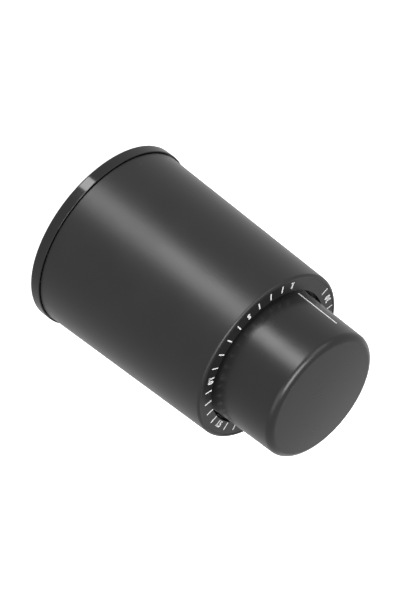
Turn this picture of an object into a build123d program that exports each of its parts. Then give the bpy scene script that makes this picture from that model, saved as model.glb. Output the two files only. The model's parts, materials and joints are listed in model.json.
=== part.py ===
from build123d import *
from math import atan2, degrees, hypot
import os

# A push-to-pump vacuum stopper for a wine bottle, with a day-of-month dial round its knob.
#
# The stopper stands on its base ring, open end down, with its axis along +Z and its origin at the
# middle of the base. A bottle's neck enters from below into a silicone neck seal. Pressing the knob
# drives a piston down a barrel, the spring brings it back, and air is drawn from the bottle past the
# inlet disc. The knob also turns, so that its pointer line marks a day. Sizes are in millimetres.

# Driving dimensions
# housing
ring_radius = 22.1
ring_height = 2.7
ring_edge = 0.5
ring_top_edge = 0.15
ring_mouth = 15.3
ring_mouth_chamfer = 0.7
ring_floor = 1.6
ring_spigot_top = 7.6
shell_foot_radius = 21.63
shell_top_radius = 20.55
shell_top = 50.1
shell_edge = 0.6
wall = 1.8
shelf_top = 48.7
shelf_thickness = 1.5
moulding_gap = 0.1
spigot_draft = 0.1
# dial
dial_face = 50.05
dial_hole_radius = 16.57
dial_radius = 19.75
dial_edge = 0.15
dial_seat_gap = 0.05
last_day = 31
numbered_days = (1, 5, 10, 15, 20, 25, 30)
first_day_angle = -67.2
tick_step = 10.9
label_step = 10.0
print_shift = 0.47
print_shift_angle = -117.0
tick_inner_radius = 17.22
tick_outer_radius = 19.08
mark_width = 0.28
ink = 0.05
digit_height = 1.6
digit_pitch = 1.12
numeral_radius = 18.1
# knob
knob_radius = 15.82
knob_tip_radius = 15.52
knob_top = 66.36
knob_crown = 0.44
knob_edge = 2.6
knob_wall = 1.6
knob_foot = 44.9
knob_flange_radius = 17.6
knob_flange = 2.0
knob_roof = 64.6
roof_corner = (0.3, 1.0)
rib_count = 6
rib_width = 1.2
rib_gap = 0.6
pilot_top = 62.0
rib_foot = 61.5
pointer_angle = -80.5
pointer_start = 49.9
pointer_end = 61.5
# pump
floor_bottom = 24.0
floor_top = 27.0
body_foot = 1.8
body_radius = 18.9
body_bore = 17.5
body_draft = 0.2
inlet_holes = 6
inlet_circle = 3.05
inlet_hole_radius = 0.7
seat_rings = ((4.4, 4.0), (2.1, 1.7))
seat_height = 0.15
spigot_radius = 9.92
spigot_bore = 7.0
spigot_top = 29.6
barrel_seal_circle = 9.53
barrel_seal_section = 0.45
barrel_seal_height = 1.35
seal_groove_depth = 0.85
seal_groove_height = 1.1
cage_bore = 5.6
cage_arms = 4
cage_arm = 6.0
cage_arm_middle = 3.2
cage_arm_width = 1.2
cage_thickness = 0.6
cage_hub_radius = 1.5
disc_radius = 4.9
disc_foot = 0.17
disc_thickness = 1.0
barrel_bore = 10.0
barrel_radius = 11.2
barrel_top = 48.5
barrel_chamfer = 0.3
bush_depth = 2.0
outlet_holes = 6
outlet_circle = 7.8
outlet_hole_radius = 1.1
foot_radius = 13.8
foot_height = 1.5
rod_radius = 5.5
rod_foot = 44.5
rod_top = 61.4
rod_bore = 2.7
rod_web_bore = 1.6
rod_web_top = 55.7
rod_web_foot = 53.7
socket_radius = 4.3
boss_radius = 4.25
boss_foot = 56.0
friction_height = 58.2
friction_circle = 3.9
friction_section = 0.38
friction_groove_radius = 3.5
friction_groove_height = 1.2
piston_foot = 41.0
piston_radius = 9.4
piston_flange = 0.7
piston_core = 7.0
piston_collar_radius = 8.2
piston_plug = 5.0
piston_plug_chamfer = (0.4, 0.5)
cup_height = 2.1
cup_floor = 1.0
cup_root_radius = 9.3
cup_inner_radius = 8.7
cup_heel_radius = 7.9
cup_lip_land = 0.2
bush_flange = 0.8
washer_height = 0.8
washer_radius = 13.9
washer_bore = 11.7
wire_radius = 0.8
coil_radius = 12.75
coils = 7
end_bedding = 0.4
# neck seal
seal_radius = 17.4
seal_top = 23.95
seal_floor = 21.6
land_radius = 14.5
relief_radius = 15.2
land_length = 3.0
land_gap = 2.0
first_land = 3.4
lands = 3
land_chamfer = 0.5
seal_foot = 1.7
seal_lead = 0.3
seal_port = 4.2
bead_circle = 11.2
bead_section = 0.6
# screws
screw_count = 3
screw_circle = 16.1
screw_radius = 0.9
boss_height = 5.6
screw_boss_radius = 2.1
screw_web = 4.0
screw_web_width = 2.4
screw_head_radius = 1.35
screw_head_height = 1.2
screw_length = 6.2
screw_middle = 4.0
screw_head_middle = 0.9
screw_slot = (1.9, 0.4, 0.6)
screw_clearance = 0.15
screw_head_clearance = 0.04
screw_recess = 1.6
screw_web_middle = 17.6
pilot_roof = 1.2
knob_screw_radius = 1.25
knob_screw_top = 61.0
knob_screw_head_radius = 2.4
knob_screw_head = 1.4
knob_screw_slot = (3.2, 0.6, 1.0)
knob_washer_radius = 2.65
knob_washer_bore = 1.3
knob_washer_height = 0.7
knob_washer_stack = 0.8
# running clearance between turning or sliding fits
slip = 0.05


def turned(*points):
    """A solid turned about Z from (radius, height) points."""
    outline = Plane.XZ * make_face(Polyline(*points, close=True))
    return revolve(outline, Axis.Z)


def tube(outer, inner, bottom, top):
    """A plain round tube, or a disc where inner is 0."""
    return turned((inner, bottom), (outer, bottom), (outer, top), (inner, top))


def rims(part, radius, height):
    """The circular edges of that radius at that height."""
    found = part.edges().filter_by(GeomType.CIRCLE)
    return [e for e in found if abs(e.radius - radius) < 0.02 and abs(e.arc_center.Z - height) < 0.02]


def shell_radius_at(height):
    """Outer radius of the tapered shell."""
    share = (height - ring_height) / (shell_top - ring_height)
    return shell_foot_radius + (shell_top_radius - shell_foot_radius) * share


def knob_radius_at(height):
    """Outer radius of the tapered knob."""
    share = (height - dial_face) / (knob_top - dial_face)
    return knob_radius + (knob_tip_radius - knob_radius) * share


def around(part, count, start=0.0):
    """Copies of a part, evenly spaced about Z."""
    return [Rot(0, 0, start + 360 / count * i) * part for i in range(count)]


def drilled(part, radius, drill, bottom, top, count, start=0.0):
    """The part with a ring of drilled holes parallel to Z."""
    hole = Pos(radius, 0, (bottom + top) / 2) * Cylinder(drill, top - bottom)
    return part - around(hole, count, start)


# Housing
def outer_shell():
    """Tapered sleeve with a rounded top edge, an inner shelf for the dial and bosses for the screws."""
    shelf_bottom = shelf_top - shelf_thickness
    body = turned(
        (shell_foot_radius - wall, ring_height),
        (shell_foot_radius, ring_height),
        (shell_top_radius, shell_top),
        (dial_radius + dial_seat_gap, shell_top),
        (dial_radius + dial_seat_gap, shelf_top),
        (dial_hole_radius, shelf_top),
        (dial_hole_radius, shelf_bottom),
        (shell_radius_at(shelf_bottom) - wall, shelf_bottom),
    )
    body = fillet(rims(body, shell_top_radius, shell_top), shell_edge)
    boss_end = floor_top + moulding_gap + boss_height
    boss_middle = boss_end - boss_height / 2
    boss = Pos(screw_circle, 0, boss_middle) * Cylinder(screw_boss_radius, boss_height)
    web = Pos(screw_web_middle, 0, boss_middle) * Box(screw_web, screw_web_width, boss_height)
    limit = tube(shell_radius_at(boss_end) - wall / 2, 0, floor_top, boss_end + 1)
    bosses = around((boss + web) & limit, screw_count)
    body = body + bosses
    return drilled(body, screw_circle, screw_radius, floor_top, boss_end - pilot_roof, screw_count)


def base_ring():
    """Gloss ring that closes the foot, with a spigot inside the shell and a lip under the neck seal."""
    spigot = shell_foot_radius - wall - moulding_gap
    body = turned(
        (ring_mouth, 0.0),
        (ring_radius, 0.0),
        (ring_radius, ring_height),
        (spigot, ring_height),
        (spigot - spigot_draft, ring_spigot_top),
        (body_radius + moulding_gap, ring_spigot_top),
        (body_radius + moulding_gap, ring_floor),
        (ring_mouth, ring_floor),
    )
    body = fillet(rims(body, ring_radius, 0), ring_edge)
    body = fillet(rims(body, ring_radius, ring_height), ring_top_edge)
    return chamfer(rims(body, ring_mouth, 0), ring_mouth_chamfer)


def inner_body():
    """Moulding inside the shell: a cup for the neck seal below, and the pump's floor and spigot above."""
    body = turned(
        (body_bore, body_foot),
        (body_radius, body_foot),
        (body_radius - body_draft, floor_top),
        (spigot_radius, floor_top),
        (spigot_radius, spigot_top),
        (spigot_bore, spigot_top),
        (spigot_bore, floor_top),
        (0, floor_top),
        (0, floor_bottom),
        (body_bore, floor_bottom),
    )
    groove_foot = floor_top + barrel_seal_height - seal_groove_height / 2
    groove_floor = spigot_radius - seal_groove_depth
    body -= tube(spigot_radius + 1, groove_floor, groove_foot, groove_foot + seal_groove_height)
    for outer, inner in seat_rings:
        body += tube(outer, inner, floor_top, floor_top + seat_height)
    body = drilled(body, inlet_circle, inlet_hole_radius, floor_bottom - 1, floor_top + 1, inlet_holes)
    hole = screw_radius + screw_clearance
    body = drilled(body, screw_circle, hole, floor_bottom - 1, floor_top + 1, screw_count)
    recess = screw_head_radius + screw_head_clearance
    return drilled(body, screw_circle, recess, floor_bottom - 1, floor_bottom + screw_recess, screw_count)


def body_screws():
    """Pan-head screws that hold the inner body to the shell's bosses."""
    shank = Pos(screw_circle, 0, floor_bottom + screw_middle) * Cylinder(screw_radius, screw_length)
    head_middle = floor_bottom + screw_head_middle
    head = Pos(screw_circle, 0, head_middle) * Cylinder(screw_head_radius, screw_head_height)
    slot = Pos(screw_circle, 0, head_middle - screw_head_height / 2 + 0.1) * Box(*screw_slot)
    return Compound(around(shank + head - slot, screw_count))


def neck_seal():
    """Silicone cup that grips the bottle's lip with three lands and seals its rim against the top."""
    points = [(seal_radius, seal_top), (seal_radius, seal_foot), (relief_radius + seal_lead, seal_foot)]
    height = first_land
    for _ in range(lands):
        top = height + land_length
        points += [(relief_radius, height - land_chamfer), (land_radius, height)]
        points += [(land_radius, top), (relief_radius, top + land_chamfer)]
        height += land_length + land_gap
    points += [(relief_radius, seal_floor), (seal_port, seal_floor), (seal_port, seal_top)]
    body = turned(*points)
    bead = Pos(0, 0, seal_floor) * Torus(bead_circle, bead_section)
    return body + bead


def dial_ring():
    """Flat ring, let into the shell's top, that carries the scale."""
    body = tube(dial_radius, dial_hole_radius, shelf_top, dial_face)
    return fillet(rims(body, dial_hole_radius, dial_face), dial_edge)


def day_angle(day):
    """Direction of a day's mark, in degrees. Marks stand a little closer together beside a number."""
    beside = sum(1 for d in range(1, day) if d in numbered_days or d + 1 in numbered_days)
    return first_day_angle + label_step * beside + tick_step * (day - 1 - beside)


def bar(x1, y1, x2, y2):
    """A straight pen stroke."""
    middle = Pos((x1 + x2) / 2, (y1 + y2) / 2)
    turn = Rot(0, 0, degrees(atan2(y2 - y1, x2 - x1)))
    return middle * turn * SlotCenterToCenter(hypot(x2 - x1, y2 - y1), mark_width)


def bowl(x, y, radius, start, sweep):
    """A curved pen stroke."""
    return SlotArc(CenterArc((x, y), radius, start, sweep), mark_width)


def digit(name):
    """One numeral, drawn with round-ended strokes about its middle."""
    top = (digit_height - mark_width) / 2
    side = 0.34
    if name == "0":
        outside = Ellipse(side + mark_width / 2, digit_height / 2)
        return outside - Ellipse(side - mark_width / 2, top - mark_width / 2)
    if name == "1":
        return bar(0, -top, 0, top) + bar(0, top, -0.26, top - 0.24) + bar(-0.26, -top, 0.26, -top)
    if name == "2":
        slant = bar(0.26, 0.12, -side, -top)
        return bowl(0, top - side, side, 165, -205) + slant + bar(-side, -top, side, -top)
    if name == "3":
        return bowl(-0.04, top - 0.3, 0.3, 150, -240) + bowl(-0.04, 0.36 - top, 0.36, 90, -240)
    return (
        bar(-0.3, top, 0.3, top) + bar(-0.3, top, -0.3, 0.05) + bowl(-0.02, 0.38 - top, 0.38, 130, -255)
    )


def dial_scale():
    """White marks on the dial: a tick for each plain day, and a number for 1 and every fifth day.

    The print sits a little off the dial's centre, as pad printing does.
    """
    marks = []
    centre = Rot(0, 0, print_shift_angle) * Pos(print_shift, 0, dial_face) * Rot(0, 0, -print_shift_angle)
    tick = Pos((tick_inner_radius + tick_outer_radius) / 2, 0) * Rectangle(
        tick_outer_radius - tick_inner_radius, mark_width
    )
    for day in range(1, last_day + 1):
        place = centre * Rot(0, 0, day_angle(day))
        if day not in numbered_days:
            marks.append(extrude(place * tick, ink, dir=(0, 0, 1)))
            continue
        figures = str(day)
        for i, name in enumerate(figures):
            shift = (i - (len(figures) - 1) / 2) * digit_pitch
            seat = place * Pos(numeral_radius, 0) * Rot(0, 0, 90) * Pos(shift, 0)
            marks.append(extrude(seat * digit(name), ink, dir=(0, 0, 1)))
    return Compound([solid for mark in marks for solid in mark.solids()])


# Pump, fixed parts
def pump_barrel():
    """Barrel over the inner body's spigot; its foot is held down by the spring."""
    body = turned(
        (barrel_bore, floor_top),
        (foot_radius, floor_top),
        (foot_radius, floor_top + foot_height),
        (barrel_radius, floor_top + foot_height),
        (barrel_radius, barrel_top),
        (barrel_bore, barrel_top),
    )
    return chamfer(rims(body, barrel_radius, barrel_top), barrel_chamfer)


def barrel_seal():
    """O-ring between the spigot and the barrel."""
    return Pos(0, 0, floor_top + barrel_seal_height) * Torus(barrel_seal_circle, barrel_seal_section)


def rod_bush():
    """Bush in the barrel's mouth that guides the rod and lets the pumped air out."""
    body = turned(
        (rod_radius + slip, barrel_top - bush_depth),
        (barrel_bore, barrel_top - bush_depth),
        (barrel_bore, barrel_top),
        (barrel_radius, barrel_top),
        (barrel_radius, barrel_top + bush_flange),
        (rod_radius + slip, barrel_top + bush_flange),
    )
    return drilled(body, outlet_circle, outlet_hole_radius, barrel_top - 3, barrel_top + 2, outlet_holes)


def valve_cage():
    """Spider that keeps the inlet disc over its seat."""
    rim = tube(spigot_bore, cage_bore, floor_top, spigot_top)
    middle = spigot_top - cage_thickness / 2
    arm = Pos(cage_arm_middle, 0, middle) * Box(cage_arm, cage_arm_width, cage_thickness)
    hub = tube(cage_hub_radius, 0, spigot_top - cage_thickness, spigot_top)
    return rim + around(arm, cage_arms) + hub


def inlet_disc():
    """Silicone disc that lifts off its seat to let air in from the bottle."""
    foot = floor_top + disc_foot
    return tube(disc_radius, 0, foot, foot + disc_thickness)


# Pump, sliding parts
def piston_rod():
    """Hollow rod: a socket at the top for the knob's boss, and a bore below for its screw."""
    return turned(
        (rod_bore, rod_foot),
        (rod_radius, rod_foot),
        (rod_radius, rod_top),
        (socket_radius, rod_top),
        (socket_radius, rod_web_top),
        (rod_web_bore, rod_web_top),
        (rod_web_bore, rod_web_foot),
        (rod_bore, rod_web_foot),
    )


def piston_head():
    """Piston with a spigot in the rod and a groove for the cup seal."""
    plug_top = rod_foot + piston_plug
    bevel_in, bevel_down = piston_plug_chamfer
    return turned(
        (0, piston_foot),
        (piston_radius, piston_foot),
        (piston_radius, piston_foot + piston_flange),
        (piston_core, piston_foot + piston_flange),
        (piston_core, rod_foot - piston_flange),
        (piston_collar_radius, rod_foot - piston_flange),
        (piston_collar_radius, rod_foot),
        (rod_bore, rod_foot),
        (rod_bore, plug_top - bevel_down),
        (rod_bore - bevel_in, plug_top),
        (0, plug_top),
    )


def piston_cup():
    """Silicone cup seal: its lip opens upwards, so it pushes air out and pulls a vacuum."""
    foot = piston_foot + piston_flange
    top = foot + cup_height
    return turned(
        (piston_core, foot),
        (cup_root_radius, foot),
        (barrel_bore - slip, top - cup_lip_land),
        (barrel_bore - slip, top),
        (cup_root_radius, top),
        (cup_inner_radius, foot + cup_floor),
        (cup_heel_radius, foot + cup_floor),
        (cup_heel_radius, top),
        (piston_core, top),
    )


def spring_washer():
    """Washer between the spring and the knob's ribs, so that the knob can turn."""
    return tube(washer_radius, washer_bore, rib_foot - washer_height, rib_foot)


def return_spring():
    """Compression spring round the barrel, with its ends ground flat."""
    bottom = floor_top + foot_height
    top = rib_foot - washer_height
    pitch = (top - bottom) / coils
    sunk = wire_radius * end_bedding
    path = Pos(0, 0, bottom + sunk) * Helix(pitch, top - bottom - 2 * sunk, coil_radius)
    section = Plane(origin=path @ 0, z_dir=path % 0) * Circle(wire_radius)
    wire = sweep(section, path=path)
    return wire & tube(coil_radius + 2, coil_radius - 2, bottom, top)


# Knob
def push_knob():
    """Hollow knob with a domed top, a stop flange inside the shell, and a boss and ribs under its roof."""
    crown_radius = (knob_tip_radius**2 + knob_crown**2) / (2 * knob_crown)
    low_radius = knob_radius_at(knob_foot)
    flange_top = knob_foot + knob_flange
    inside = knob_radius - knob_wall
    corner_in, corner_down = roof_corner
    wall_line = Polyline(
        (0, knob_roof),
        (inside - corner_in, knob_roof),
        (inside, rib_foot - corner_down),
        (inside, knob_foot),
        (knob_flange_radius, knob_foot),
        (knob_flange_radius, flange_top),
        (knob_radius_at(flange_top), flange_top),
        (knob_tip_radius, knob_top),
    )
    crown = RadiusArc((knob_tip_radius, knob_top), (0, knob_top + knob_crown), -crown_radius)
    closing = Line((0, knob_top + knob_crown), (0, knob_roof))
    body = revolve(Plane.XZ * make_face(wall_line + crown + closing), Axis.Z)
    body = fillet(rims(body, knob_tip_radius, knob_top), knob_edge)
    boss = tube(boss_radius, 0, boss_foot, knob_roof + 0.5)
    groove_foot = friction_height - friction_groove_height / 2
    groove_top = groove_foot + friction_groove_height
    boss -= tube(boss_radius + 1, friction_groove_radius, groove_foot, groove_top)
    rib_length = inside - rib_gap
    rib_height = knob_roof - rib_foot
    rib = Pos(rib_length / 2, 0, knob_roof - rib_height / 2) * Box(rib_length, rib_width, rib_height)
    body = body + boss + around(rib, rib_count, 180 / rib_count)
    pilot = tube(knob_screw_radius, 0, boss_foot - 1, pilot_top)
    return body - pilot


def pointer_line():
    """White line down the knob's side, from the dial to near the rounded edge."""
    low, high = knob_radius_at(pointer_start), knob_radius_at(pointer_end)
    skin = turned(
        (low, pointer_start),
        (low + ink, pointer_start),
        (high + ink, pointer_end),
        (high, pointer_end),
    )
    middle = (pointer_start + pointer_end) / 2
    strip = Pos(knob_radius, 0, middle) * Box(4, mark_width, pointer_end - pointer_start + 2)
    return Rot(0, 0, pointer_angle) * (skin & strip)


def knob_screw():
    """Screw that holds the rod on the knob's boss and lets the knob turn."""
    head_top = rod_web_foot - knob_washer_stack
    head_foot = head_top - knob_screw_head
    shank = tube(knob_screw_radius, 0, head_top, knob_screw_top)
    head = tube(knob_screw_head_radius, 0, head_foot, head_top)
    slot = Pos(0, 0, head_foot + 0.2) * Box(*knob_screw_slot)
    return shank + head - slot


def knob_washer():
    """Steel washer between the screw's head and the rod's web."""
    top = rod_web_foot - slip
    return tube(knob_washer_radius, knob_washer_bore, top - knob_washer_height, top)


def friction_ring():
    """O-ring on the knob's boss that keeps the pointer where it is set."""
    return Pos(0, 0, friction_height) * Torus(friction_circle, friction_section)


PARTS = {
    "outer_shell": outer_shell,
    "base_ring": base_ring,
    "inner_body": inner_body,
    "body_screws": body_screws,
    "neck_seal": neck_seal,
    "dial_ring": dial_ring,
    "dial_scale": dial_scale,
    "pump_barrel": pump_barrel,
    "barrel_seal": barrel_seal,
    "rod_bush": rod_bush,
    "valve_cage": valve_cage,
    "inlet_disc": inlet_disc,
    "piston_rod": piston_rod,
    "piston_head": piston_head,
    "piston_cup": piston_cup,
    "spring_washer": spring_washer,
    "return_spring": return_spring,
    "push_knob": push_knob,
    "pointer_line": pointer_line,
    "knob_screw": knob_screw,
    "knob_washer": knob_washer,
    "friction_ring": friction_ring,
}

os.makedirs("parts", exist_ok=True)
for node, make in PARTS.items():
    export_step(make(), f"parts/{node}.step")
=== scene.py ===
import json
import math

import bmesh
import bpy
from mathutils import Matrix, Vector


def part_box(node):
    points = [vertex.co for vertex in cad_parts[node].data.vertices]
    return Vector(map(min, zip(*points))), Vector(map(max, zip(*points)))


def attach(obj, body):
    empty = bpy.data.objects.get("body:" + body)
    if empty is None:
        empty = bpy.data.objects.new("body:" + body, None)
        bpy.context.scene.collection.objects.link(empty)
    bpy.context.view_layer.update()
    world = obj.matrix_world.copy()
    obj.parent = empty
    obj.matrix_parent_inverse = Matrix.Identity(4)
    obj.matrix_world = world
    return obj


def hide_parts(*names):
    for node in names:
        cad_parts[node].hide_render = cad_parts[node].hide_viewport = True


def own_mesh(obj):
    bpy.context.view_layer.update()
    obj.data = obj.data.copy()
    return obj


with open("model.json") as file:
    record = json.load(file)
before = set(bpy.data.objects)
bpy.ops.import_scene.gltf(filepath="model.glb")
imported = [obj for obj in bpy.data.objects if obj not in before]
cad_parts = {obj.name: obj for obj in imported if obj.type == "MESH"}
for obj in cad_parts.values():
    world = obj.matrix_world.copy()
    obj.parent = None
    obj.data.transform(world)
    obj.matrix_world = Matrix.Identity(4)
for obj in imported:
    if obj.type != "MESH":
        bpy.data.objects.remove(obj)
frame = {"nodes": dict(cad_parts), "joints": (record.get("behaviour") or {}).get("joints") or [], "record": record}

mm = 0.001
fullTurn = 2 * math.pi
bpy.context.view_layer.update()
scene = bpy.context.scene


def heights(node):
    low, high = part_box(node)
    return low[2], high[2]


def reach(node):
    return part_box(node)[1][0]  # largest radius of a turned node


def bodyOf(node):
    return next(body for body, nodes in frame["record"]["behaviour"]["bodies"].items() if node in nodes)


def slotOf(node):
    return next(row["material_slot"] for row in frame["record"]["subparts"] if row["node"] == node)


view = {
    "lens": 397.1,
    "sensor": 36.0,
    "distance": 1.419,
    "lean": math.radians(37.35),  # the stopper's axis below the view's horizontal
    "tilt": math.radians(28.23),  # how far the knob's end is turned to the viewer
    "side": math.radians(-13.1),  # which side of the dial is nearest
    "aimHeight": 30.8 * mm,
    "right": 0.73 * mm,
    "down": 1.59 * mm,
}


def aimCamera():
    near = Vector((math.cos(view["side"]), math.sin(view["side"]), 0))
    across = Vector((-near.y, near.x, 0))
    up = Vector((0, 0, 1))
    lean, tilt = view["lean"], view["tilt"]
    along = up * math.cos(tilt) - near * math.sin(tilt)
    right = along * math.cos(lean) - across * math.sin(lean)
    down = along * math.sin(lean) + across * math.cos(lean)
    ahead = -up * math.sin(tilt) - near * math.cos(tilt)
    place = up * view["aimHeight"] - right * view["right"] - down * view["down"] - ahead * view["distance"]
    lens = bpy.data.cameras.new("camera")
    lens.lens = view["lens"]
    lens.sensor_width = view["sensor"]
    lens.clip_end = 20
    camera = bpy.data.objects.new("camera", lens)
    camera.matrix_world = Matrix.Translation(place) @ Matrix((right, -down, -ahead)).transposed().to_4x4()
    scene.collection.objects.link(camera)
    scene.camera = camera


aimCamera()
print("camera placed")


class Wire:
    def __init__(self, tree, socket=None):
        self.tree = tree
        self.socket = socket

    def node(self, kind, settings=(), sockets=(), out=0):
        made = self.tree.nodes.new(kind)
        for name, value in dict(settings).items():
            setattr(made, name, value)
        for name, value in dict(sockets).items():
            if isinstance(value, Wire):
                self.tree.links.new(value.socket, made.inputs[name])
            else:
                made.inputs[name].default_value = value
        return Wire(self.tree, made.outputs[out])

    def join(self, operation, first, second):
        return self.node("ShaderNodeMath", {"operation": operation}, {0: first, 1: second})

    def __add__(self, other):
        return self.join("ADD", self, other)

    def __sub__(self, other):
        return self.join("SUBTRACT", self, other)

    def __rsub__(self, other):
        return self.join("SUBTRACT", other, self)

    def __mul__(self, other):
        return self.join("MULTIPLY", self, other)

    def over(self, threshold):
        return self.join("GREATER_THAN", self, threshold)

    def noise(self, place, scale, detail=2.0, rough=0.5):
        sockets = {"Vector": place, "Scale": scale, "Detail": detail, "Roughness": rough}
        return self.node("ShaderNodeTexNoise", {}, sockets)

    def ramp(self, start, end, low=0.0, high=1.0):
        return self.node("ShaderNodeMapRange", {"clamp": True}, {0: self, 1: start, 2: end, 3: low, 4: high})

    def between(self, first, second):
        return self.node(
            "ShaderNodeMix", {"data_type": "RGBA"}, {"Factor": self, 6: (*first, 1), 7: (*second, 1)}, out=2
        )


def newFinish(name):
    made = bpy.data.materials.new(name)
    made.use_nodes = True
    tree = made.node_tree
    tree.nodes.clear()
    start = Wire(tree)
    place = start.node("ShaderNodeTexCoord", out=3)  # object coordinates, in metres
    return made, start, place


def finishSurface(made, start, sockets, height, strength, step):
    bump = start.node("ShaderNodeBump", {}, {"Strength": strength, "Distance": step, "Height": height})
    shader = start.node("ShaderNodeBsdfPrincipled", {}, {**sockets, "Normal": bump})
    output = made.node_tree.nodes.new("ShaderNodeOutputMaterial")
    made.node_tree.links.new(shader.socket, output.inputs["Surface"])
    return made


softTouch = {
    "dark": (0.009, 0.009, 0.0092),
    "pale": (0.012, 0.012, 0.0123),
    "rough": (0.33, 0.39),
    "knobRough": (0.27, 0.32),  # the knob is a little smoother than the sleeve
    "sheen": 0.15,
    "sheenRough": 0.35,
    "dustColour": (0.30, 0.30, 0.30),
    "dustScale": 240.0,  # one cell about 4 mm across
    "dustRadius": 0.022,
    "dustLuck": 0.53,  # a cell holds a speck where the slow noise is above this
}


def softTouchFinish(name, shift, roughRange):
    made, start, place = newFinish(name)
    moved = start.node("ShaderNodeMapping", {}, {"Vector": place, "Location": (shift, 0, 0)})
    cloud = start.noise(moved, 90.0, 3.0)
    grain = start.noise(moved, 5200.0, 2.0)
    cells = start.node(
        "ShaderNodeTexVoronoi", {"feature": "F1"}, {"Vector": moved, "Scale": softTouch["dustScale"]}, out=0
    )
    lucky = start.noise(moved, 60.0, 1.0)
    dust = (1 - cells.ramp(0.0, softTouch["dustRadius"])) * lucky.over(softTouch["dustLuck"])
    plain = cloud.between(softTouch["dark"], softTouch["pale"])
    colour = start.node(
        "ShaderNodeMix",
        {"data_type": "RGBA"},
        {"Factor": dust, 6: plain, 7: (*softTouch["dustColour"], 1)},
        out=2,
    )
    rough = cloud.ramp(0.3, 0.7, *roughRange) + grain * 0.04 - 0.02
    sockets = {
        "Base Color": colour,
        "Roughness": rough,
        "Specular IOR Level": 0.5,
        "Sheen Weight": softTouch["sheen"],
        "Sheen Roughness": softTouch["sheenRough"],
    }
    return finishSurface(made, start, sockets, grain + dust * 2, 0.25, 0.000012)


glossBlack = {"colour": (0.010, 0.010, 0.0103), "rough": (0.07, 0.12)}


def glossFinish():
    made, start, place = newFinish("glossBlack")
    smear = start.noise(place, 120.0, 3.0)
    hair = start.node(
        "ShaderNodeTexNoise",
        {},
        {
            "Vector": start.node("ShaderNodeMapping", {}, {"Vector": place, "Scale": (1, 1, 14)}),
            "Scale": 420.0,
            "Detail": 4.0,
        },
    )
    low, high = glossBlack["rough"]
    rough = smear.ramp(0.35, 0.7, low, high) + hair.ramp(0.55, 0.75, 0, 0.05)
    sockets = {"Base Color": (*glossBlack["colour"], 1), "Roughness": rough, "Specular IOR Level": 0.5}
    return finishSurface(made, start, sockets, hair, 0.08, 0.00001)


dialBlack = {"dark": (0.009, 0.009, 0.0092), "pale": (0.012, 0.012, 0.0123), "rough": (0.34, 0.40)}


def dialFinish():
    made, start, place = newFinish("dialBlack")
    cloud = start.noise(place, 300.0, 2.0)
    grain = start.noise(place, 7000.0, 2.0)
    low, high = dialBlack["rough"]
    sockets = {
        "Base Color": cloud.between(dialBlack["dark"], dialBlack["pale"]),
        "Roughness": cloud.ramp(0.3, 0.7, low, high),
        "Specular IOR Level": 0.5,
    }
    return finishSurface(made, start, sockets, grain, 0.2, 0.00001)


whiteInk = {"full": (0.86, 0.86, 0.86), "thin": (0.70, 0.70, 0.70), "rough": (0.45, 0.6)}


def inkFinish():
    made, start, place = newFinish("whiteInk")
    patchy = start.noise(place, 2400.0, 3.0)
    low, high = whiteInk["rough"]
    sockets = {
        "Base Color": patchy.ramp(0.3, 0.55).between(whiteInk["thin"], whiteInk["full"]),
        "Roughness": patchy.ramp(0.3, 0.7, low, high),
    }
    return finishSurface(made, start, sockets, patchy, 0.3, 0.00001)


silicone = {"dark": (0.016, 0.016, 0.017), "pale": (0.03, 0.03, 0.031), "rough": (0.5, 0.66)}


def siliconeFinish():
    made, start, place = newFinish("silicone")
    bloom = start.noise(place, 160.0, 4.0, 0.6)
    grain = start.noise(place, 3800.0, 2.0)
    low, high = silicone["rough"]
    sockets = {
        "Base Color": bloom.ramp(0.35, 0.75).between(silicone["dark"], silicone["pale"]),
        "Roughness": bloom.ramp(0.3, 0.7, low, high),
        "Sheen Weight": 0.15,
        "Sheen Roughness": 0.4,
    }
    return finishSurface(made, start, sockets, grain, 0.25, 0.00002)


mouldedInner = {"dark": (0.026, 0.026, 0.028), "pale": (0.04, 0.04, 0.042), "rough": (0.42, 0.55)}


def mouldedFinish(name, dark, pale, rough):
    made, start, place = newFinish(name)
    flow = start.noise(place, 140.0, 3.0)
    spark = start.noise(place, 4200.0, 2.0)
    sockets = {
        "Base Color": flow.ramp(0.3, 0.7).between(dark, pale),
        "Roughness": flow.ramp(0.3, 0.7, *rough) + spark * 0.06,
        "Specular IOR Level": 0.5,
    }
    return finishSurface(made, start, sockets, spark, 0.3, 0.00002)


acetal = {"dark": (0.68, 0.67, 0.63), "pale": (0.78, 0.77, 0.73), "rough": (0.25, 0.36)}
steel = {"dark": (0.50, 0.50, 0.51), "pale": (0.66, 0.66, 0.67), "rough": (0.2, 0.34)}


def steelFinish():
    made, start, place = newFinish("steel")
    drawn = start.noise(
        start.node("ShaderNodeMapping", {}, {"Vector": place, "Scale": (1, 1, 8)}), 900.0, 4.0, 0.6
    )
    low, high = steel["rough"]
    sockets = {
        "Base Color": drawn.ramp(0.3, 0.7).between(steel["dark"], steel["pale"]),
        "Metallic": 1.0,
        "Roughness": drawn.ramp(0.3, 0.7, low, high),
    }
    return finishSurface(made, start, sockets, drawn, 0.15, 0.00001)


finishes = {
    "soft_touch_black": softTouchFinish("softTouchBlack", 0.0, softTouch["rough"]),
    "gloss_black": glossFinish(),
    "dial_black": dialFinish(),
    "white_ink": inkFinish(),
    "silicone": siliconeFinish(),
    "inner_plastic": mouldedFinish(
        "innerPlastic", mouldedInner["dark"], mouldedInner["pale"], mouldedInner["rough"]
    ),
    "acetal": mouldedFinish("acetal", acetal["dark"], acetal["pale"], acetal["rough"]),
    "steel": steelFinish(),
}
knobFinish = softTouchFinish("softTouchKnob", 0.037, softTouch["knobRough"])
print("finishes made:", len(finishes) + 1)


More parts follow.
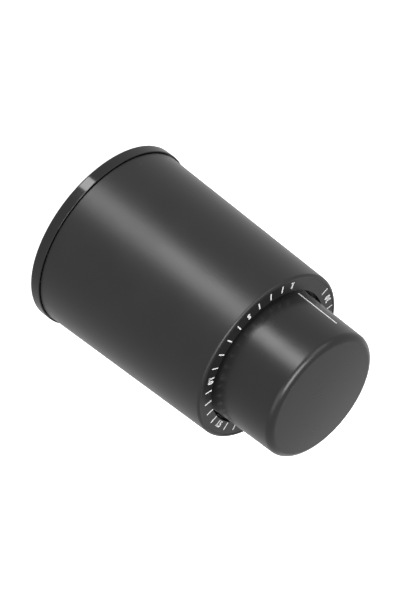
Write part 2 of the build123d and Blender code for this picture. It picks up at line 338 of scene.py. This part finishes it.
def turnOutline(corners, steps=256):
    work = bmesh.new()
    dots = [work.verts.new((radius, 0, height)) for radius, height in corners]
    sides = [work.edges.new(pair) for pair in zip(dots, dots[1:] + dots[:1])]
    bmesh.ops.spin(
        work, geom=dots + sides, cent=(0, 0, 0), axis=(0, 0, 1), angle=fullTurn, steps=steps, use_merge=True
    )
    bmesh.ops.remove_doubles(work, verts=work.verts, dist=1e-7)
    bmesh.ops.recalc_face_normals(work, faces=work.faces)
    return work


def isAt(corner, radius, height):
    return abs(math.hypot(corner.co.x, corner.co.y) - radius) < 2e-6 and abs(corner.co.z - height) < 2e-6


def roundRim(work, radius, height, offset, segments=6):
    rim = [edge for edge in work.edges if all(isAt(corner, radius, height) for corner in edge.verts)]
    bmesh.ops.bevel(
        work, geom=rim, offset=offset, offset_type="OFFSET", segments=segments, profile=0.5,
        affect="EDGES", clamp_overlap=True, material=-1,
    )


creaseAngle = math.radians(35)


def finishPiece(name, work, node, finish, weighted=True):
    mesh = bpy.data.meshes.new(name)
    for face in work.faces:
        face.smooth = True
    for edge in work.edges:
        edge.smooth = len(edge.link_faces) != 2 or edge.calc_face_angle(0) < creaseAngle
    work.to_mesh(mesh)
    work.free()
    mesh.materials.append(finish)
    piece = bpy.data.objects.new(name, mesh)
    scene.collection.objects.link(piece)
    if weighted:
        even = piece.modifiers.new("evenShading", "WEIGHTED_NORMAL")
        even.keep_sharp = True
        even.weight = 100
    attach(piece, bodyOf(node))
    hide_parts(node)
    return piece


def addDisc(work, radius, bottom, top, spot, steps=48):
    # a plain round boss, joined to the mesh as its own closed shell
    bmesh.ops.create_cone(
        work, cap_ends=True, segments=steps, radius1=radius, radius2=radius, depth=top - bottom,
        matrix=Matrix.Translation((*spot, (top + bottom) / 2)),
    )


sleeve = {
    "taper": 1.08 * mm,
    "wall": 1.8 * mm,
    "edge": 0.6 * mm,
    "footEdge": 0.22 * mm,
    "lipEdge": 0.06 * mm,
    "lipGap": 0.02 * mm,
    "shelf": 1.5 * mm,
    "bosses": 3,
    "bossRadius": 2.1 * mm,
    "bossCircle": 16.1 * mm,
    "bossFoot": 27.1 * mm,
    "bossHeight": 5.6 * mm,
    "bossWeb": 2.4 * mm,
    "webSink": 0.6 * mm,  # how far a boss's web runs into the wall
}


def addScrewBosses(work, wallInside):
    low, high = sleeve["bossFoot"], sleeve["bossFoot"] + sleeve["bossHeight"]
    circle = sleeve["bossCircle"]
    for i in range(sleeve["bosses"]):
        turn = Matrix.Rotation(fullTurn * i / sleeve["bosses"], 4, "Z")
        addDisc(work, sleeve["bossRadius"], low, high, (turn @ Vector((circle, 0, 0))).to_2d())
        span = wallInside + sleeve["webSink"] - circle
        seat = Matrix.Translation((circle + span / 2, 0, (low + high) / 2))
        bmesh.ops.create_cube(
            work, size=1, matrix=turn @ seat @ Matrix.Diagonal((span, sleeve["bossWeb"], high - low, 1))
        )


def makeSleeve():
    bottom, top = heights("outer_shell")
    foot = reach("outer_shell")
    dialLow, _ = heights("dial_ring")
    lip = reach("dial_ring") + sleeve["lipGap"]
    head = foot - sleeve["taper"]
    shelfLow = dialLow - sleeve["shelf"]
    hole = dial["hole"]
    inner = head + sleeve["taper"] * (top - shelfLow) / (top - bottom) - sleeve["wall"]
    work = turnOutline([
        (foot - sleeve["wall"], bottom),
        (foot, bottom),
        (head, top),
        (lip, top),
        (lip, dialLow),
        (hole, dialLow),
        (hole, shelfLow),
        (inner, shelfLow),
    ])
    roundRim(work, head, top, sleeve["edge"], 10)
    roundRim(work, lip, top, sleeve["lipEdge"], 2)
    roundRim(work, foot, bottom, sleeve["footEdge"], 3)
    addScrewBosses(work, foot - sleeve["taper"] - sleeve["wall"])
    return finishPiece("sleeve", work, "outer_shell", finishes["soft_touch_black"])


baseRing = {
    "edge": 0.5 * mm,
    "topEdge": 0.12 * mm,
    "mouth": 15.3 * mm,
    "mouthEdge": 0.7 * mm,
    "floor": 1.6 * mm,
    "grooveWidth": 0.24 * mm,
    "grooveDepth": 0.6 * mm,
    "spigotGap": 0.1 * mm,
    "spigotDraft": 0.1 * mm,
    "seatRadius": 19.0 * mm,
}


def makeBaseRing():
    bottom, top = heights("base_ring")
    outer = reach("base_ring")
    step = heights("outer_shell")[0]
    foot = reach("outer_shell")
    grooveFar = foot + baseRing["grooveWidth"]
    spigot = foot - sleeve["wall"] - baseRing["spigotGap"]
    work = turnOutline([
        (baseRing["mouth"], bottom),
        (outer, bottom),
        (outer, step),
        (grooveFar, step),
        (grooveFar, step - baseRing["grooveDepth"]),
        (spigot, step - baseRing["grooveDepth"]),
        (spigot - baseRing["spigotDraft"], top),
        (baseRing["seatRadius"], top),
        (baseRing["seatRadius"], baseRing["floor"]),
        (baseRing["mouth"], baseRing["floor"]),
    ])
    roundRim(work, outer, bottom, baseRing["edge"], 8)
    roundRim(work, outer, step, baseRing["topEdge"], 5)
    roundRim(work, baseRing["mouth"], bottom, baseRing["mouthEdge"], 6)
    return finishPiece("baseRing", work, "base_ring", finishes["gloss_black"])


dial = {
    "hole": 16.57 * mm,
    "holeEdge": 0.15 * mm,
    "rimEdge": 0.06 * mm,
    "days": 31,
    "numbered": (1, 5, 10, 15, 20, 25, 30),
    "firstDay": -67.2,  # degrees round the axis
    "tickStep": 10.9,
    "labelStep": 10.0,  # between a number and the tick beside it
    "printShift": 0.47 * mm,
    "printShiftTurn": math.radians(-117.0),
    "tickFrom": 17.22 * mm,
    "tickTo": 19.08 * mm,
    "line": 0.28 * mm,
    "ink": 0.05 * mm,
    "digitHeight": 1.6 * mm,
    "digitWidth": 0.86,  # condensed, against the font's own width
    "digitBold": 0.035,
    "digitPitch": 1.12 * mm,
    "digitRadius": 18.1 * mm,
    "footWidth": 0.85 * mm,  # the bar under a figure 1
    "footShift": 0.1 * mm,
}


def makeDial():
    bottom, top = heights("dial_ring")
    outer = reach("dial_ring")
    work = turnOutline([(dial["hole"], bottom), (outer, bottom), (outer, top), (dial["hole"], top)])
    roundRim(work, dial["hole"], top, dial["holeEdge"], 4)
    roundRim(work, outer, top, dial["rimEdge"], 3)
    return finishPiece("dialRing", work, "dial_ring", finishes["dial_black"])


def dayTurn(day):
    beside = sum(1 for d in range(1, day) if d in dial["numbered"] or d + 1 in dial["numbered"])
    turn = dial["firstDay"] + dial["labelStep"] * beside + dial["tickStep"] * (day - 1 - beside)
    aside = Matrix.Rotation(dial["printShiftTurn"], 4, "Z") @ Vector((dial["printShift"], 0, 0))
    return Matrix.Translation(aside) @ Matrix.Rotation(math.radians(turn), 4, "Z")


def withFoot(mesh):
    work = bmesh.new()
    work.from_mesh(mesh)
    low = (dial["line"] - dial["digitHeight"]) / 2
    seat = Matrix.Translation((dial["footShift"], low, 0))
    shape = Matrix.Diagonal((dial["footWidth"], dial["line"], dial["ink"], 1))
    bmesh.ops.create_cube(work, size=1, matrix=seat @ shape)
    work.to_mesh(mesh)
    work.free()
    return mesh


def digitMesh(figure):
    # one figure, centred, cut to the dial's digit height
    words = bpy.data.curves.new("figure", "FONT")
    words.body = figure
    words.extrude = 0.5
    words.offset = dial["digitBold"]
    words.resolution_u = 6
    holder = bpy.data.objects.new("figure", words)
    scene.collection.objects.link(holder)
    mesh = bpy.data.meshes.new_from_object(holder.evaluated_get(bpy.context.evaluated_depsgraph_get()))
    bpy.data.objects.remove(holder)
    spots = [corner.co for corner in mesh.vertices]
    low = Vector([min(spot[i] for spot in spots) for i in range(3)])
    high = Vector([max(spot[i] for spot in spots) for i in range(3)])
    tall = dial["digitHeight"] / (high.y - low.y)
    shrink = Matrix.Diagonal((tall * dial["digitWidth"], tall, dial["ink"] / (high.z - low.z), 1))
    mesh.transform(shrink @ Matrix.Translation(-(low + high) / 2))
    if figure == "1":
        mesh = withFoot(mesh)
    return mesh


def makeScale():
    face = heights("dial_scale")[0] + dial["ink"] / 2
    work = bmesh.new()
    figures = {name: digitMesh(name) for name in "0123456789"}
    tickLength = dial["tickTo"] - dial["tickFrom"]
    for day in range(1, dial["days"] + 1):
        turn = dayTurn(day)
        if day not in dial["numbered"]:
            middle = Matrix.Translation(((dial["tickFrom"] + dial["tickTo"]) / 2, 0, face))
            shape = Matrix.Diagonal((tickLength, dial["line"], dial["ink"], 1))
            bmesh.ops.create_cube(work, size=1, matrix=turn @ middle @ shape)
            continue
        text = str(day)
        for i, figure in enumerate(text):
            shift = (i - (len(text) - 1) / 2) * dial["digitPitch"]
            seat = Matrix.Translation((dial["digitRadius"], 0, face)) @ Matrix.Rotation(fullTurn / 4, 4, "Z")
            copy = figures[figure].copy()
            copy.transform(turn @ seat @ Matrix.Translation((shift, 0, 0)))
            work.from_mesh(copy)
            bpy.data.meshes.remove(copy)
    bmesh.ops.remove_doubles(work, verts=work.verts, dist=1e-7)
    bmesh.ops.recalc_face_normals(work, faces=work.faces)
    return finishPiece("dayMarks", work, "dial_scale", finishes["white_ink"], weighted=False)


knob = {
    "side": 15.82 * mm,
    "tip": 15.52 * mm,
    "crown": 0.44 * mm,
    "crownSteps": 10,
    "edge": 2.6 * mm,
    "wall": 1.6 * mm,
    "flange": 2.0 * mm,
    "roof": 64.6 * mm,
    "ribFoot": 61.5 * mm,
    "bossRadius": 4.25 * mm,
    "bossFoot": 56.0 * mm,
    "pilot": 1.25 * mm,
    "pilotTop": 62.0 * mm,
    "groove": (57.6 * mm, 58.8 * mm, 3.5 * mm),
    "ribs": 6,
    "ribWidth": 1.2 * mm,
    "ribTurn": math.radians(30),
    "ribSink": 0.2 * mm,  # how far a rib runs into the wall, the boss and the roof
}


def knobRadius(height):
    dialTop = heights("dial_ring")[1]
    top = heights("push_knob")[1] - knob["crown"]
    return knob["side"] + (knob["tip"] - knob["side"]) * (height - dialTop) / (top - dialTop)


def makeKnob():
    foot, peak = heights("push_knob")
    flangeRadius = reach("push_knob")
    top = peak - knob["crown"]
    inside = knob["side"] - knob["wall"]
    crownRadius = (knob["tip"] ** 2 + knob["crown"] ** 2) / (2 * knob["crown"])
    crown = []
    for i in range(knob["crownSteps"]):
        radius = knob["tip"] * (1 - i / knob["crownSteps"])
        crown.append((radius, peak - crownRadius + math.sqrt(crownRadius**2 - radius**2)))
    low, high, depth = knob["groove"]
    work = turnOutline([
        (flangeRadius, foot),
        (flangeRadius, foot + knob["flange"]),
        (knobRadius(foot + knob["flange"]), foot + knob["flange"]),
        *crown,
        (0, peak),
        (0, knob["pilotTop"]),
        (knob["pilot"], knob["pilotTop"]),
        (knob["pilot"], knob["bossFoot"]),
        (knob["bossRadius"], knob["bossFoot"]),
        (knob["bossRadius"], low),
        (depth, low),
        (depth, high),
        (knob["bossRadius"], high),
        (knob["bossRadius"], knob["roof"]),
        (inside, knob["roof"]),
        (inside, foot),
    ])
    roundRim(work, knob["tip"], top, knob["edge"], 18)
    for i in range(knob["ribs"]):
        span = inside - knob["bossRadius"] + 2 * knob["ribSink"]
        place = ((inside + knob["bossRadius"]) / 2, 0, (knob["roof"] + knob["ribFoot"]) / 2)
        middle = Matrix.Translation(place)
        tall = knob["roof"] - knob["ribFoot"] + knob["ribSink"]
        shape = Matrix.Diagonal((span, knob["ribWidth"], tall, 1))
        turn = Matrix.Rotation(knob["ribTurn"] + fullTurn * i / knob["ribs"], 4, "Z")
        bmesh.ops.create_cube(work, size=1, matrix=turn @ middle @ shape)
    return finishPiece("pushKnob", work, "push_knob", knobFinish)


pointer = {
    "turn": math.radians(-80.5),
    "line": 0.3 * mm,
    "ink": 0.05 * mm,
    "sink": 0.03 * mm,
    "edge": 0.012 * mm,
    "below": 0.15 * mm,  # how far it runs down past the dial's face
}


def makePointer():
    low, high = heights("pointer_line")
    low = max(low, heights("dial_ring")[1] - pointer["below"])
    middle = (low + high) / 2
    slope = math.atan2(knobRadius(high) - knobRadius(low), high - low)
    thick = pointer["ink"] + pointer["sink"]
    out = knobRadius(middle) + pointer["ink"] - thick / 2
    work = bmesh.new()
    turn = Matrix.Rotation(pointer["turn"], 4, "Z")
    seat = Matrix.Translation((out, 0, middle)) @ Matrix.Rotation(slope, 4, "Y")
    shape = Matrix.Diagonal((thick, pointer["line"], high - low, 1))
    bmesh.ops.create_cube(work, size=1, matrix=turn @ seat @ shape)
    uprights = [edge for edge in work.edges if abs(edge.verts[0].co.z - edge.verts[1].co.z) > 1 * mm]
    bmesh.ops.bevel(
        work, geom=uprights, offset=pointer["edge"], offset_type="OFFSET", segments=2, profile=0.5,
        affect="EDGES", material=-1,
    )
    return finishPiece("pointerLine", work, "pointer_line", finishes["white_ink"], weighted=False)


neckSeal = {
    "land": 14.5 * mm,
    "relief": 15.2 * mm,
    "lip": 15.5 * mm,
    "landLength": 3.0 * mm,
    "landGap": 2.0 * mm,
    "firstLand": 3.4 * mm,
    "lands": 3,
    "floor": 21.6 * mm,
    "port": 4.2 * mm,
    "beadRadius": 11.2 * mm,
    "bead": 0.6 * mm,
    "landSlant": 0.5 * mm,
    "landEdge": 0.3 * mm,
    "edge": 0.25 * mm,
}


def makeNeckSeal():
    bottom, top = heights("neck_seal")
    outer = reach("neck_seal")
    corners = [(outer, top), (outer, bottom), (neckSeal["lip"], bottom)]
    slant = neckSeal["landSlant"]
    rounds = []
    low = neckSeal["firstLand"]
    for _ in range(neckSeal["lands"]):
        high = low + neckSeal["landLength"]
        corners += [(neckSeal["relief"], low - slant), (neckSeal["land"], low)]
        corners += [(neckSeal["land"], high), (neckSeal["relief"], high + slant)]
        rounds += [low, high]
        low = high + neckSeal["landGap"]
    corners += [(neckSeal["relief"], neckSeal["floor"])]
    for share in (1, 2 / 3, 1 / 3, 0, -1 / 3, -2 / 3, -1):
        # a half-round bead on the seal's floor, for the bottle's rim
        drop = neckSeal["bead"] * math.sqrt(1 - share**2)
        corners.append((neckSeal["beadRadius"] + share * neckSeal["bead"], neckSeal["floor"] - drop))
    corners += [(neckSeal["port"], neckSeal["floor"]), (neckSeal["port"], top)]
    work = turnOutline(corners, 160)
    for height in rounds:
        roundRim(work, neckSeal["land"], height, neckSeal["landEdge"], 4)
    roundRim(work, neckSeal["lip"], bottom, neckSeal["edge"], 4)
    roundRim(work, neckSeal["port"], neckSeal["floor"], neckSeal["edge"], 3)
    return finishPiece("neckSeal", work, "neck_seal", finishes["silicone"])


spring = {"wire": 0.8 * mm, "turns": 7, "stepsPerTurn": 40, "sides": 16}


def makeSpring():
    bottom, top = heights("return_spring")
    coilRadius = reach("return_spring") - spring["wire"]
    steps = spring["turns"] * spring["stepsPerTurn"]
    rise = top - bottom - 2 * spring["wire"]
    work = bmesh.new()
    place = Matrix.Translation((coilRadius, 0, bottom + spring["wire"]))
    start = place @ Matrix.Rotation(fullTurn / 4, 4, "X")
    section = bmesh.ops.create_circle(work, segments=spring["sides"], radius=spring["wire"], matrix=start)
    rim = section["verts"] + list({edge for dot in section["verts"] for edge in dot.link_edges})
    made = bmesh.ops.spin(
        work, geom=rim, cent=(0, 0, 0), axis=(0, 0, 1), dvec=(0, 0, rise / steps),
        angle=fullTurn * spring["turns"], steps=steps,
    )
    ends = [edge for edge in work.edges if len(edge.link_faces) == 1]
    bmesh.ops.holes_fill(work, edges=ends, sides=spring["sides"])
    bmesh.ops.recalc_face_normals(work, faces=work.faces)
    piece = finishPiece("returnSpring", work, "return_spring", finishes["steel"], weighted=False)
    travel = next(joint for joint in frame["joints"] if joint["name"] == "press")["range_m"][1]
    share = 1 - travel / (top - bottom)
    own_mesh(piece)  # gives the spring its own copy of its mesh
    return piece


for make in (makeSleeve, makeBaseRing, makeDial, makeScale, makeKnob, makePointer, makeNeckSeal, makeSpring):
    piece = make()
    print("made", piece.name, len(piece.data.polygons), "faces")


def dressNodes():
    for name, node in frame["nodes"].items():
        node.data.materials.clear()
        node.data.materials.append(finishes[slotOf(name)])


dressNodes()
print("nodes dressed:", len(frame["nodes"]))


studio = {
    "surround": 0.55,
    "floorHalf": 1.6,
    "floorDrop": 0.1 * mm,  # keeps the floor's face and the ring's from flickering
    "floorGlow": 1.0,
}
# each light: degrees round the stopper from the camera's side, degrees above its middle, its distance,
# its width and height in degrees as the stopper sees it, and how strongly its face glows
lamps = {
    "keySoftbox": {"turn": 20, "lift": -13, "far": 0.8, "size": (18, 30), "glow": 7.6},
    "ringSoftbox": {"turn": 31, "lift": -31, "far": 0.8, "size": (13, 12), "glow": 8.0},
    "frontSoftbox": {"turn": 2, "lift": 54, "far": 0.8, "size": (44, 24), "glow": 8.5},
    "upperPanel": {"turn": 60, "lift": 30, "far": 0.8, "size": (30, 30), "glow": 1.5},
    "sidePanel": {"turn": -45, "lift": 20, "far": 0.8, "size": (40, 40), "glow": 1.2},
    "endPanel": {"turn": 180, "lift": 2, "far": 0.5, "size": (50, 40), "glow": 0.6},
    "lowPanel": {"turn": 180, "lift": -60, "far": 0.8, "size": (50, 50), "glow": 1.6},
}


def addLamp(name, facts):
    turn, lift = view["side"] - math.radians(facts["turn"]), math.radians(facts["lift"])
    toward = Vector((math.cos(turn) * math.cos(lift), math.sin(turn) * math.cos(lift), math.sin(lift)))
    wide, tall = [2 * facts["far"] * math.tan(math.radians(angle / 2)) for angle in facts["size"]]
    glow = bpy.data.lights.new(name, "AREA")
    glow.shape = "RECTANGLE"
    glow.size, glow.size_y = wide, tall
    glow.energy = facts["glow"] * math.pi * wide * tall
    lamp = bpy.data.objects.new(name, glow)
    back = toward.to_track_quat("Z", "Y").to_matrix().to_4x4()
    middle = Vector((0, 0, view["aimHeight"]))
    lamp.matrix_world = Matrix.Translation(middle + toward * facts["far"]) @ back
    lamp.visible_camera = False
    scene.collection.objects.link(lamp)


def setStudio():
    for name, facts in lamps.items():
        addLamp(name, facts)
    surround = bpy.data.worlds.new("surround")
    surround.use_nodes = True
    surround.node_tree.nodes["Background"].inputs["Color"].default_value = (1, 1, 1, 1)
    surround.node_tree.nodes["Background"].inputs["Strength"].default_value = studio["surround"]
    scene.world = surround
    scene.view_settings.view_transform = "Standard"


def layFloor():
    work = bmesh.new()
    bmesh.ops.create_grid(work, x_segments=1, y_segments=1, size=studio["floorHalf"])
    mesh = bpy.data.meshes.new("floor")
    work.to_mesh(mesh)
    work.free()
    floor = bpy.data.objects.new("floor", mesh)
    floor.location.z = -studio["floorDrop"]
    floor.visible_glossy = False  # the stopper's sides mirror the room, not the floor
    floor.visible_diffuse = False
    floor.visible_shadow = False
    scene.collection.objects.link(floor)
    pale = bpy.data.materials.new("paleFloor")
    pale.use_nodes = True
    shader = pale.node_tree.nodes["Principled BSDF"]
    shader.inputs["Base Color"].default_value = (0.9, 0.9, 0.9, 1)
    shader.inputs["Roughness"].default_value = 0.9
    shader.inputs["Emission Color"].default_value = (1, 1, 1, 1)
    shader.inputs["Emission Strength"].default_value = studio["floorGlow"]
    start = Wire(pale.node_tree)
    above = 1 - start.node("ShaderNodeNewGeometry", out=6)  # 1 where the face is seen from above
    pale.node_tree.links.new(above.socket, shader.inputs["Alpha"])
    mesh.materials.append(pale)


setStudio()
layFloor()
print("studio set")
